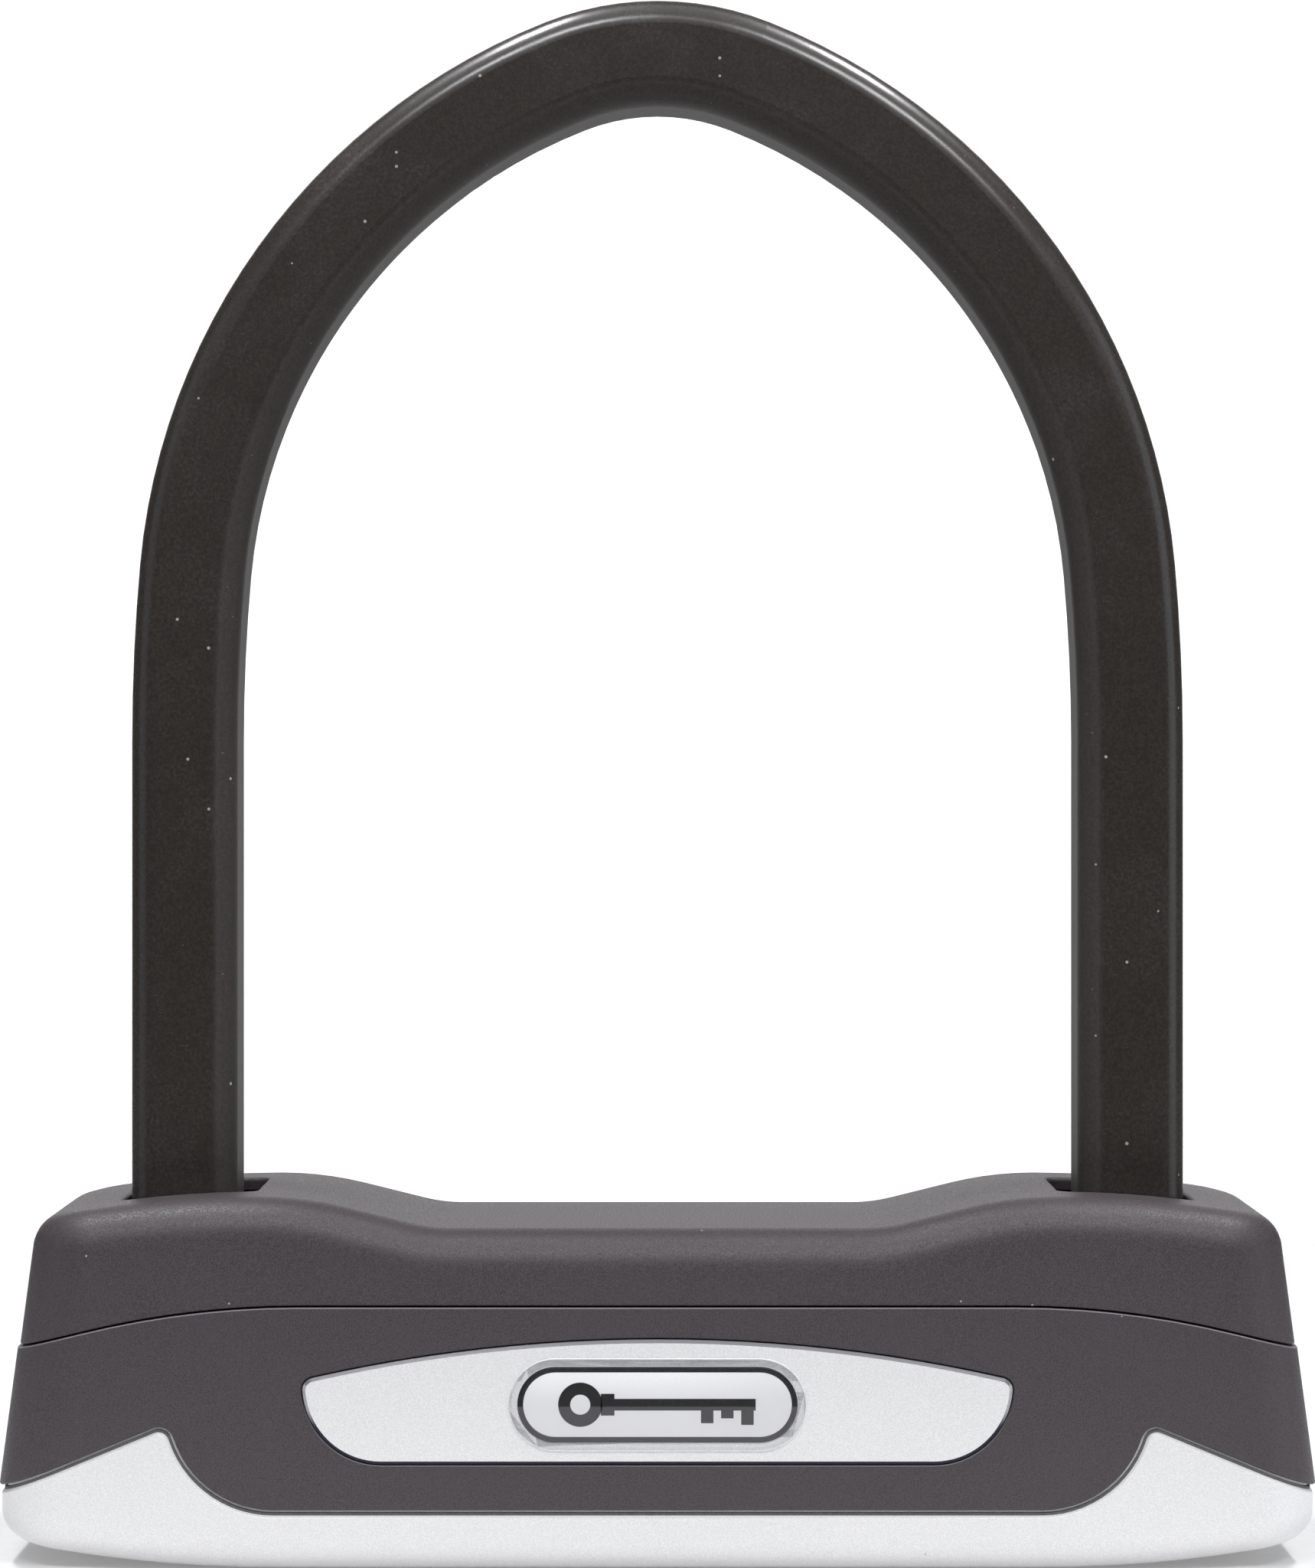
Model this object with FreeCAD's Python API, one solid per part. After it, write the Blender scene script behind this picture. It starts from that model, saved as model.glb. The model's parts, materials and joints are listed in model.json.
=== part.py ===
import FreeCAD, Part
import math
import os
from FreeCAD import Vector

# U lock, closed and unlocked. Millimetres. Z up from the flat foot of the cap, X across the legs,
# -Y the badge side, origin at the middle of the foot. A square hardened bar bent to a U drops into a
# crossbar; a disc-detainer cylinder, reached from below, turns a scroll cam that drives two bolts
# outwards into notches in the legs.

# ---- shackle ----
INNER_WIDTH = 108.0          # clear width between the sleeved legs
BAR_SIZE = 12.0              # square hardened bar
BAR_CORNER = 2.6
SLEEVE_WALL = 0.8
SLEEVE_CORNER = 3.4
SLEEVE_GAP = 0.02            # shrunk-on sleeve over the bar
LEG_STRAIGHT_TOP = 103.8     # where the straight legs end
HIP_RADIUS = 245.7
HIP_ANGLE = math.radians(5.16)
SHOULDER_CROSS = 16.0        # the shoulder arc's centre lies this far past the centre plane
CROWN_RADIUS = 32.5
LEG_END_CHAMFER = 1.2
NOTCH_FLOOR_GAP = 0.4        # bolt tip to notch floor
NOTCH_SIDE_GAP = 0.4

# ---- running and seating clearances ----
FIT_GAP = 0.1                # inner blocks inside the case
LEG_GAP = 0.3                # bar inside its well
SLIDE_GAP = 0.3              # bolts in their channels
RUN_GAP = 0.05               # cylinder and washers
PRESS_GAP = 0.02             # pins, rivets and screws in their seats
CAM_PIN_GAP = 0.12
AXIAL_GAP = 0.05
TOUCH = 1e-4                 # two skins this close are the same skin

# ---- disc-detainer cylinder ----
CYLINDER_FACE_Z = 3.5
DISC_RADIUS = 5.6
DISC_COUNT = 6
DISC_THICKNESS = 1.9
SPACER_THICKNESS = 0.5
DISC_CODE = (0, 3, 1, 5, 2, 4)   # cut number of each disc, from the mouth inwards
CODE_STEP = 18.0                 # degrees of turn per cut
STACK_END_GAP = 0.2
KEYWAY_WIDTH = 7.8
KEYWAY_HEIGHT = 2.8
CARRIER_WALL = 1.35
CARRIER_HEAD = 4.0
MOUTH_DEPTH = 0.4
GUARD_THICKNESS = 2.2
HOUSING_WALL = 1.95
FLANGE_WIDTH = 1.5
FLANGE_THICKNESS = 2.6
SIDEBAR_WIDTH = 1.6
SIDEBAR_HEIGHT = 1.9
SIDEBAR_ANGLE = 0.0          # degrees from +X
STOP_PIN_RADIUS = 1.0
STOP_DEPTH = 1.0
STOP_PIN_ANGLE = -90.0
NECK_RADIUS = 4.6
CLIP_THICKNESS = 0.5
CLIP_RADIUS = 8.0
CLIP_OPENING = 60.0
TAIL_SIZE = 6.2
TAIL_LENGTH = 2.3

# ---- scroll cam and bolts ----
TURN = math.radians(90.0)
HUB_RADIUS = 7.0
HUB_HEIGHT = 3.0
CAM_THICKNESS = 3.05
CAM_RIM = 1.48
POCKET_GAP = 0.3
WASHER_THICKNESS = 0.5
WASHER_RADIUS = 9.4
PIN_RADIUS = 1.7
PIN_START = 3.3              # pin distance from the axis, bolts drawn in
PIN_IN_BOLT = 3.1
BOLT_TRAVEL = 6.0
BOLT_HEIGHT = 5.8
BOLT_WIDTH = 9.0
BOLT_TIP_GAP = 1.9           # drawn-in tip to the bar
BOLT_INNER_X = 1.2
BOLT_LIFT = 0.4              # bolts above the cam
BOLT_ROOF_GAP = 0.7
BOLT_TIP_CHAMFER = 0.8

# ---- steel case and cast blocks ----
CASE_BOTTOM_Z = 9.8
CASE_WALL = 2.6
CASE_CORNER = 5.0
CASE_BEND = 2.8
CORE_SIDE_WALL = 1.0
BLOCK_INNER_WALL = 6.3
BLOCK_OUTER_WALL = 4.7
BLOCK_JOINT = 0.2            # between the core and each leg block
PAD_THICKNESS = 2.0
PAD_HOLE_GAP = 0.3
LEG_END_GAP = 0.3
RIVET_RADIUS = 2.0
RIVET_HEAD_RADIUS = 3.2
RIVET_HEAD_HEIGHT = 0.6
RIVET_DEPTH = 3.0
RIVET_X = 40.0
RIVET_Z = 25.0
SCREW_RADIUS = 2.3
SCREW_HEAD_RADIUS = 4.2
SCREW_HEAD_HEIGHT = 1.7
SCREW_SLOT = 1.2
SCREW_LENGTH = 8.6

# ---- covers ----
COVER_WALL = 1.8
COVER_AIR = 0.9              # covers to the case's broad sides
COVER_TOP_AIR = 0.35
SIDE_MARGIN = 8.8            # case end to the body's widest point
SIDE_Z = 9.4                 # height of the widest point
SIDE_LEAN = math.radians(7.6)
PLAN_CORNER = 8.5
TOP_ROUND = 5.0
CREST_RISE = 3.95            # crests above the valley
CREST_INSET = 10.7           # crest line inside the leg's centre
RISE_ANGLE = math.radians(13.9)
VALLEY_BLEND = 21.0
CREST_BLEND = 46.0
CREST_RADIUS = 142.0         # crest towards the sides
SEAM_DROP = 9.6              # seam below the valley
SEAM_ARC_INSET = 16.1
SEAM_ARC_RADIUS = 113.4
SEAM_GAP = 0.2
SEAM_STEP = 0.25             # lower cover stands proud of the upper
SEAM_ROUND = 0.2
EDGE_ROUND = 0.25            # covers' lower edge
HOLE_INNER_GAP = 2.8
HOLE_OUTER_GAP = 0.7
HOLE_SIDE_GAP = 1.4
HOLE_CORNER = 1.5
HOLE_ROUND = 0.5
BUSH_GAP = 0.35
BUSH_WALL = 4.0
BUSH_TOP_AIR = 0.3

# ---- silver cap ----
CAP_EDGE_Z = 7.8             # covers' lower edge in the middle
WING_INSET = 12.9            # wing arc's centre inside the leg's centre
WING_RADIUS = 13.0
WING_TIP_RADIUS = 2.0
WING_SLOPE = math.radians(22.3)
WING_END_Z = 9.65            # wing line at the body's widest point
CAP_GAP = 0.65               # open line between covers and cap
CAP_EDGE_BEVEL = 0.3
CAP_LIP_INSET = 0.7          # lip of the cap seen inside that line
CAP_LIP_GAP = 0.1
CAP_SETBACK = 0.4
CAP_FOOT_MARGIN = 36.3       # flat foot ends this far inside the widest point
CAP_FOOT_RADIUS = 174.0
CAP_ROUND = 3.8
CAP_BOSS_RADIUS = 5.4
CYLINDER_BOSS_WALL = 3.2
SEAL_INSET = 0.35            # seal cord set back from the cap's face
SEAL_HEIGHT = 0.3

# ---- sliding keyhole cover ----
SLIDER_LENGTH = 20.0
SLIDER_WIDTH = 12.8
SLIDER_THICKNESS = 1.1
SLIDER_TRAVEL = 16.0
SLIDER_BASE_Z = 0.5
SLIDER_TONGUE = 0.8
TONGUE_THICKNESS = 0.65
RIB_HEIGHT = 0.15
RIB_WIDTH = 0.8
RIB_PITCH = 2.0
RIB_COUNT = 5
RECESS_FLOOR = 1.65
BEZEL_WALL = 1.2
BEZEL_BORE = 5.4

# ---- badge ----
BADGE_HALF = 44.2
BADGE_BOTTOM = 13.6
BADGE_TOP = 29.1
BADGE_CROWN_RADIUS = 195.0
BADGE_LOWER_RADIUS = 9.8
BADGE_TIP_RADIUS = 1.5
BADGE_PROUD = 0.4
BADGE_SEAT = 1.0
BADGE_GAP = 0.15
BADGE_BEVEL = 0.4
EMBLEM_Z = 21.1
FOIL_LENGTH = 34.9
FOIL_HEIGHT = 9.5
FOIL_THICKNESS = 0.2
LENS_LENGTH = 37.0
LENS_HEIGHT = 11.5
LENS_THICKNESS = 1.0
LENS_ROUND = 0.7

# ---- places that follow from the sizes above ----
LEG_X = INNER_WIDTH / 2 + SLEEVE_WALL + BAR_SIZE / 2
SLEEVE_HALF = BAR_SIZE / 2 + SLEEVE_WALL
BAR_INNER_X = LEG_X - BAR_SIZE / 2

BASE_TOP_Z = CASE_BOTTOM_Z + CASE_WALL
LEG_END_Z = BASE_TOP_Z + PAD_THICKNESS + LEG_END_GAP

CARRIER_BORE = DISC_RADIUS + RUN_GAP
CARRIER_RADIUS = CARRIER_BORE + CARRIER_WALL
HOUSING_BORE = CARRIER_RADIUS + RUN_GAP
HOUSING_RADIUS = HOUSING_BORE + HOUSING_WALL
GUARD_Z = CYLINDER_FACE_Z + MOUTH_DEPTH
STACK_Z = GUARD_Z + GUARD_THICKNESS + STACK_END_GAP
DISC_PITCH = DISC_THICKNESS + SPACER_THICKNESS
STACK_TOP_Z = STACK_Z + DISC_COUNT * DISC_PITCH - SPACER_THICKNESS
CAVITY_TOP_Z = STACK_TOP_Z + STACK_END_GAP
CARRIER_TOP_Z = CAVITY_TOP_Z + CARRIER_HEAD
HOUSING_TOP_Z = CARRIER_TOP_Z - 2 * AXIAL_GAP
CLIP_TOP_Z = CARRIER_TOP_Z + CLIP_THICKNESS
HUB_Z = CLIP_TOP_Z + AXIAL_GAP
CAM_Z = HUB_Z + HUB_HEIGHT
CAM_TOP_Z = CAM_Z + CAM_THICKNESS
POCKET_Z = CAM_Z - AXIAL_GAP - WASHER_THICKNESS
BOLT_Z = CAM_TOP_Z + BOLT_LIFT
BOLT_TOP_Z = BOLT_Z + BOLT_HEIGHT
BOLT_TIP_X = BAR_INNER_X - BOLT_TIP_GAP

SLOT_HALF = PIN_RADIUS + CAM_PIN_GAP
CAM_RADIUS = PIN_START + BOLT_TRAVEL + SLOT_HALF + CAM_RIM
POCKET_RADIUS = CAM_RADIUS + POCKET_GAP
CORE_HALF_DEPTH = POCKET_RADIUS + CORE_SIDE_WALL
CASE_INNER_DEPTH = CORE_HALF_DEPTH + FIT_GAP
CASE_DEPTH = CASE_INNER_DEPTH + CASE_WALL
WELL_HALF = BAR_SIZE / 2 + LEG_GAP
BLOCK_INNER_X = LEG_X - WELL_HALF - BLOCK_INNER_WALL
BLOCK_OUTER_X = LEG_X + WELL_HALF + BLOCK_OUTER_WALL
CASE_INNER_HALF = BLOCK_OUTER_X + FIT_GAP
CASE_HALF = CASE_INNER_HALF + CASE_WALL
CASE_ROOF_Z = BOLT_TOP_Z + BOLT_ROOF_GAP
CASE_TOP_Z = CASE_ROOF_Z + CASE_WALL

BODY_HALF = CASE_HALF + SIDE_MARGIN
BODY_HALF_DEPTH = CASE_DEPTH + COVER_AIR + COVER_WALL
VALLEY_Z = CASE_TOP_Z + COVER_TOP_AIR + COVER_WALL
CREST_Z = VALLEY_Z + CREST_RISE
CREST_X = LEG_X - CREST_INSET
BLENDS = VALLEY_BLEND + CREST_BLEND
BLENDS_RISE = BLENDS * (1 - math.cos(RISE_ANGLE))
RISE_RUN = BLENDS * math.sin(RISE_ANGLE) + (CREST_RISE - BLENDS_RISE) / math.tan(RISE_ANGLE)
VALLEY_END_X = CREST_X - RISE_RUN
SEAM_Z = VALLEY_Z - SEAM_DROP
SLEEVE_END_Z = CASE_TOP_Z + COVER_TOP_AIR
FRONT_Y = -BODY_HALF_DEPTH
FAR = 4 * BODY_HALF          # well outside every solid

RECESS_TOP_Z = SLIDER_BASE_Z + SLIDER_THICKNESS + AXIAL_GAP * 3
CAP_PAD_TOP_Z = RECESS_TOP_Z + RECESS_FLOOR


# ---- small builders ----
def box(x0, x1, y0, y1, z0, z1):
    return Part.makeBox(x1 - x0, y1 - y0, z1 - z0, Vector(x0, y0, z0))


def rod(radius, z0, z1, x=0.0, y=0.0):
    return Part.makeCylinder(radius, z1 - z0, Vector(x, y, z0))


def ring(outer, inner, z0, z1):
    return rod(outer, z0, z1).cut(rod(inner, z0, z1))


def mirrored(shape):
    return shape.mirror(Vector(0, 0, 0), Vector(1, 0, 0))


def turned(shape, degrees):
    copy = shape.copy()
    copy.rotate(Vector(0, 0, 0), Vector(0, 0, 1), degrees)
    return copy


def rounded_box(x0, x1, y0, y1, z0, z1, radius):
    """An upright box with its four vertical edges rounded."""
    block = box(x0, x1, y0, y1, z0, z1)
    upright = [e for e in block.Edges if abs(e.tangentAt(0).z) > 0.9]
    return block.makeFillet(radius, upright)


def at(x, z, y=0.0):
    return Vector(x, y, z)


def line(a, b):
    return Part.LineSegment(a, b).toShape()


def on_arc(center, radius, angle):
    return at(center.x + radius * math.cos(angle), center.z + radius * math.sin(angle))


def arc(center, radius, start, end):
    """An arc in the XZ plane, angles from +X towards +Z."""
    middle = (start + end) / 2
    points = [on_arc(center, radius, a) for a in (start, middle, end)]
    return Part.Arc(*points).toShape()


def both_sides(edges):
    """Right-hand edges, listed from the centre outwards, with their mirror images before them."""
    left = [mirrored(e) for e in reversed(edges)]
    return left + edges


def ends_of(edges):
    right = edges[-1].Vertexes[-1].Point
    return at(-right.x, right.z), right


def slab(edges, z_close, half_depth):
    """The region between a left-to-right line of edges and the level z_close, extruded along Y."""
    left, right = ends_of(edges)
    corner_right = at(right.x, z_close)
    corner_left = at(left.x, z_close)
    closing = [line(corner_right, corner_left)]
    if abs(right.z - z_close) > SEAM_GAP:
        closing += [line(right, corner_right), line(corner_left, left)]
    wire = Part.Wire(Part.__sortEdges__(edges + closing))
    wire.translate(Vector(0, -half_depth, 0))
    return Part.Face(wire).extrude(Vector(0, 2 * half_depth, 0))


def stadium(length, height, y_front, y_back, z):
    """An upright plate with round ends, facing -Y."""
    radius = height / 2
    reach = length / 2 - radius
    depth = y_back - y_front
    middle = box(-reach, reach, y_front, y_back, z - radius, z + radius)
    for x in (-reach, reach):
        end = Part.makeCylinder(radius, depth, Vector(x, y_front, z), Vector(0, 1, 0))
        middle = middle.fuse(end)
    return middle.removeSplitter()


def nearest_edge(shape, point):
    spot = Part.Vertex(point)
    return min(shape.Edges, key=lambda e: e.distToShape(spot)[0])


def rim_edges(shape, first, second):
    """Edges of the shape that lie on the skins of both other solids."""
    skins = [first.Shells[0], second.Shells[0]]
    found = []
    for e in shape.Edges:
        span = e.LastParameter - e.FirstParameter
        spots = [Part.Vertex(e.valueAt(e.FirstParameter + span * t)) for t in (0.05, 0.5, 0.95)]
        if all(spot.distToShape(skin)[0] < TOUCH for skin in skins for spot in spots):
            found.append(e)
    return found


# ---- shackle ----
def shoulder_radius():
    reach = LEG_X - HIP_RADIUS * (1 - math.cos(HIP_ANGLE)) + SHOULDER_CROSS
    return reach / math.cos(HIP_ANGLE)


def arch_arcs():
    """Hip, shoulder and crown arcs of the right half: centre, radius, start and end angle."""
    shoulder = shoulder_radius()
    hip_center = at(LEG_X - HIP_RADIUS, LEG_STRAIGHT_TOP)
    hip_end = on_arc(hip_center, HIP_RADIUS, HIP_ANGLE)
    shoulder_center = at(-SHOULDER_CROSS, hip_end.z - shoulder * math.sin(HIP_ANGLE))
    crown_start = math.acos(SHOULDER_CROSS / (shoulder - CROWN_RADIUS))
    crown_z = shoulder_center.z + (shoulder - CROWN_RADIUS) * math.sin(crown_start)
    return [
        (hip_center, HIP_RADIUS, 0.0, HIP_ANGLE),
        (shoulder_center, shoulder, HIP_ANGLE, crown_start),
        (at(0.0, crown_z), CROWN_RADIUS, crown_start, math.pi / 2),
    ]


def square_section(half, corner, x, z):
    """A rounded square across an upright leg, centred at x on the level z."""
    blank = rounded_box(x - half, x + half, -half, half, z - 1, z, corner)
    return [f for f in blank.Faces if f.CenterOfMass.z > z - 1e-3][0]


def swept_shackle(half, corner, z_end):
    leg = square_section(half, corner, LEG_X, LEG_STRAIGHT_TOP)
    pieces = [leg.extrude(Vector(0, 0, z_end - LEG_STRAIGHT_TOP))]
    for center, radius, start, end in arch_arcs():
        section = square_section(half, corner, center.x + radius, center.z)
        section.rotate(center, Vector(0, -1, 0), math.degrees(start))
        pieces.append(section.revolve(center, Vector(0, -1, 0), math.degrees(end - start)))
    right = pieces[0].multiFuse(pieces[1:])
    return right.fuse(mirrored(right)).removeSplitter()


def bolt_notch():
    tip = BOLT_TIP_X + BOLT_TRAVEL
    z0 = BOLT_Z - NOTCH_SIDE_GAP
    z1 = BOLT_TOP_Z + NOTCH_SIDE_GAP
    return box(BAR_INNER_X - 1, tip + NOTCH_FLOOR_GAP, -BAR_SIZE, BAR_SIZE, z0, z1)


def shackle_bar():
    bar = swept_shackle(BAR_SIZE / 2, BAR_CORNER, LEG_END_Z)
    feet = []
    for e in bar.Edges:
        if e.BoundBox.ZMax < LEG_END_Z + 1e-3:
            feet.append(e)
    bar = bar.makeChamfer(LEG_END_CHAMFER, feet)
    return bar.cut(bolt_notch()).cut(mirrored(bolt_notch()))


def shackle_sleeve():
    outside = swept_shackle(SLEEVE_HALF, SLEEVE_CORNER, SLEEVE_END_Z)
    inside_half = BAR_SIZE / 2 + SLEEVE_GAP
    inside = swept_shackle(inside_half, BAR_CORNER + SLEEVE_GAP, SLEEVE_END_Z - 1)
    return outside.cut(inside)


# ---- body outline ----
def side_top_point(inset):
    """Where the crest arc meets the leaning side, both moved inwards by inset."""
    lean = math.tan(SIDE_LEAN)
    side_x = BODY_HALF - inset / math.cos(SIDE_LEAN)
    radius = CREST_RADIUS - inset
    across = side_x - CREST_X
    up = SIDE_Z - (CREST_Z - CREST_RADIUS)
    a = lean * lean + 1
    b = 2 * (up - across * lean)
    c = across * across + up * up - radius * radius
    rise = (-b + math.sqrt(b * b - 4 * a * c)) / (2 * a)
    return at(side_x - rise * lean, SIDE_Z + rise)


def top_edges(inset):
    """Valley, rise, crest and leaning side of the right half, down to below the foot."""
    concave = VALLEY_BLEND + inset
    convex = CREST_BLEND - inset
    valley_z = VALLEY_Z - inset
    valley_center = at(VALLEY_END_X, valley_z + concave)
    brow_center = at(CREST_X, CREST_Z - inset - convex)
    down = -math.pi / 2
    up = math.pi / 2
    rise_foot = on_arc(valley_center, concave, down + RISE_ANGLE)
    rise_top = on_arc(brow_center, convex, up + RISE_ANGLE)
    corner = side_top_point(inset)
    crest_center = at(CREST_X, CREST_Z - CREST_RADIUS)
    crest_end = math.atan2(corner.z - crest_center.z, corner.x - crest_center.x)
    side_x = BODY_HALF - inset / math.cos(SIDE_LEAN)
    foot = at(side_x + 2 * SIDE_Z * math.tan(SIDE_LEAN), -SIDE_Z)
    return [
        line(at(0, valley_z), at(VALLEY_END_X, valley_z)),
        arc(valley_center, concave, down, down + RISE_ANGLE),
        line(rise_foot, rise_top),
        arc(brow_center, convex, up + RISE_ANGLE, up),
        arc(crest_center, CREST_RADIUS - inset, up, crest_end),
        line(corner, foot),
    ]


def cover_outline(inset):
    """The covers' outer shape, moved inwards by inset, running on below the foot."""
    half_depth = BODY_HALF_DEPTH - inset
    edges = both_sides(top_edges(inset))
    block = slab(edges, -SIDE_Z, half_depth)
    corners = []
    for e in block.Edges:
        upright = e.BoundBox.ZLength > SIDE_Z and e.BoundBox.YLength < 1e-3
        if upright and e.BoundBox.XMin * e.BoundBox.XMax > 0 and e.BoundBox.ZMin < 0:
            corners.append(e)
    block = block.makeFillet(PLAN_CORNER - inset, corners)
    rim = nearest_edge(block, Vector(VALLEY_END_X / 2, -half_depth, VALLEY_Z - inset))
    return block.makeFillet(TOP_ROUND - inset, [rim])


def cap_outline(inset):
    """The cap's outer shape, moved inwards by inset, running on above its edge."""
    half = BODY_HALF - CAP_SETBACK - inset
    half_depth = BODY_HALF_DEPTH - inset
    foot_x = BODY_HALF - CAP_FOOT_MARGIN
    radius = CAP_FOOT_RADIUS - inset
    center = at(foot_x, CAP_FOOT_RADIUS)
    end = -math.acos((half - foot_x) / radius)
    corner = on_arc(center, radius, end)
    edges = [
        line(at(0, inset), at(foot_x, inset)),
        arc(center, radius, -math.pi / 2, end),
        line(corner, at(half, SEAM_Z)),
    ]
    block = slab(both_sides(edges), SEAM_Z + 1, half_depth)
    corners = []
    for e in block.Edges:
        box_of = e.BoundBox
        if box_of.XLength < 1e-3 and box_of.YLength < 1e-3 and box_of.ZMin < SIDE_Z:
            corners.append(e)
    block = block.makeFillet(PLAN_CORNER - inset, corners)
    rim = nearest_edge(block, Vector(foot_x / 2, -half_depth, inset))
    return block.makeFillet(CAP_ROUND - inset, [rim])


def seam_edges(offset):
    start = at(LEG_X - SEAM_ARC_INSET, SEAM_Z + offset)
    radius = SEAM_ARC_RADIUS + offset
    center = at(start.x, SEAM_Z - SEAM_ARC_RADIUS)
    end = math.acos((BODY_HALF + PLAN_CORNER - start.x) / radius)
    return [line(at(0, start.z), start), arc(center, radius, math.pi / 2, end)]


def wing_edges(offset):
    """The covers' lower edge, moved towards the cap by offset: level, up a hollow arc to the wing's
    rounded tip, then straight down to the side."""
    hollow = at(LEG_X - WING_INSET, CAP_EDGE_Z + WING_RADIUS)
    slope = math.tan(WING_SLOPE)
    drop = WING_TIP_RADIUS / math.cos(WING_SLOPE)
    level = WING_END_Z + slope * BODY_HALF - drop - hollow.z
    reach = WING_RADIUS + WING_TIP_RADIUS
    # point of the lowered wing line at that reach from the hollow arc's centre
    a = 1 + slope * slope
    b = -2 * (hollow.x + slope * level)
    c = hollow.x ** 2 + level ** 2 - reach ** 2
    tip_x = (-b - math.sqrt(b * b - 4 * a * c)) / (2 * a)
    other_x = (-b + math.sqrt(b * b - 4 * a * c)) / (2 * a)
    tip_x = max(tip_x, other_x)
    tip = at(tip_x, hollow.z + level - slope * tip_x)
    touch = math.atan2(tip.z - hollow.z, tip.x - hollow.x)
    normal = math.pi / 2 - WING_SLOPE
    tip_radius = WING_TIP_RADIUS - offset
    line_start = on_arc(tip, tip_radius, normal)
    end_x = BODY_HALF + PLAN_CORNER
    line_end = at(end_x, line_start.z - slope * (end_x - line_start.x))
    bottom_z = CAP_EDGE_Z - offset
    return [
        line(at(0, bottom_z), at(hollow.x, bottom_z)),
        arc(hollow, WING_RADIUS + offset, -math.pi / 2, touch),
        arc(tip, tip_radius, touch + math.pi, normal),
        line(line_start, line_end),
    ]


# ---- covers ----
def leg_opening():
    x0 = LEG_X - SLEEVE_HALF - HOLE_INNER_GAP
    x1 = LEG_X + SLEEVE_HALF + HOLE_OUTER_GAP
    half = SLEEVE_HALF + HOLE_SIDE_GAP
    return rounded_box(x0, x1, -half, half, SEAM_Z, FAR, HOLE_CORNER)


def upper_cover():
    above = slab(both_sides(seam_edges(SEAM_GAP)), FAR, FAR)
    outside = cover_outline(SEAM_STEP)
    shell = outside.cut(cover_outline(COVER_WALL)).common(above)
    openings = leg_opening().fuse(mirrored(leg_opening()))
    shell = shell.cut(openings)
    shell = shell.makeFillet(SEAM_ROUND, rim_edges(shell, outside, above))
    rims = []
    for opening in (leg_opening(), mirrored(leg_opening())):
        rims += rim_edges(shell, outside, opening)
    return shell.makeFillet(HOLE_ROUND, rims)


def badge_outline(gap, y_front, y_back):
    """Badge plate blank: level below, large lower corners, shallow arched top."""
    lower = at(BADGE_HALF - BADGE_LOWER_RADIUS, BADGE_BOTTOM + BADGE_LOWER_RADIUS)
    crown = at(0.0, BADGE_TOP - BADGE_CROWN_RADIUS)
    lower_radius = BADGE_LOWER_RADIUS + gap
    crown_radius = BADGE_CROWN_RADIUS + gap
    span = math.hypot(lower.x - crown.x, lower.z - crown.z)
    bearing = math.atan2(lower.z - crown.z, lower.x - crown.x)
    cosine = (crown_radius ** 2 + span ** 2 - lower_radius ** 2) / (2 * crown_radius * span)
    meet = bearing - math.acos(cosine)
    corner = on_arc(crown, crown_radius, meet)
    lower_end = math.atan2(corner.z - lower.z, corner.x - lower.x)
    right = [
        line(at(0, BADGE_BOTTOM - gap), at(lower.x, BADGE_BOTTOM - gap)),
        arc(lower, lower_radius, -math.pi / 2, lower_end),
        arc(crown, crown_radius, meet, math.pi / 2),
    ]
    edges = right + [mirrored(e) for e in right]
    wire = Part.Wire(Part.__sortEdges__(edges))
    wire.translate(Vector(0, y_front, 0))
    plate = Part.Face(wire).extrude(Vector(0, y_back - y_front, 0))
    tips = []
    for e in plate.Edges:
        b = e.BoundBox
        if b.XLength < 1e-3 and b.ZLength < 1e-3 and abs(b.XMin) > lower.x + 1 and b.ZMin > lower.z:
            tips.append(e)
    return plate.makeFillet(BADGE_TIP_RADIUS + gap, tips)


def lower_cover():
    below = slab(both_sides(seam_edges(0.0)), -FAR, FAR)
    above = slab(both_sides(wing_edges(0.0)), FAR, FAR)
    outside = cover_outline(0.0)
    shell = outside.cut(cover_outline(COVER_WALL)).common(below).common(above)
    shell = shell.makeFillet(SEAM_ROUND, rim_edges(shell, outside, below))
    shell = shell.makeFillet(EDGE_ROUND, rim_edges(shell, outside, above))
    seat = badge_outline(BADGE_GAP, FRONT_Y - 1, FRONT_Y + BADGE_SEAT)
    shell = shell.cut(seat)
    return shell.makeFillet(SEAM_ROUND, rim_edges(shell, outside, seat))


def badge_plate():
    plate = badge_outline(0.0, FRONT_Y - BADGE_PROUD, FRONT_Y + BADGE_SEAT)
    face_y = FRONT_Y - BADGE_PROUD
    rim = [e for e in plate.Edges if e.BoundBox.YMax < face_y + 1e-3]
    return plate.makeChamfer(BADGE_BEVEL, rim)


def emblem_foil():
    y = FRONT_Y - BADGE_PROUD
    return stadium(FOIL_LENGTH, FOIL_HEIGHT, y - FOIL_THICKNESS, y, EMBLEM_Z)


def emblem_lens():
    y = FRONT_Y - BADGE_PROUD
    lens = stadium(LENS_LENGTH, LENS_HEIGHT, y - LENS_THICKNESS, y, EMBLEM_Z)
    rim = [e for e in lens.Edges if e.BoundBox.YMax < y - LENS_THICKNESS + 1e-3]
    lens = lens.makeFillet(LENS_ROUND, rim)
    pocket = stadium(FOIL_LENGTH, FOIL_HEIGHT, y - FOIL_THICKNESS, y, EMBLEM_Z)
    return lens.cut(pocket)


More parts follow.
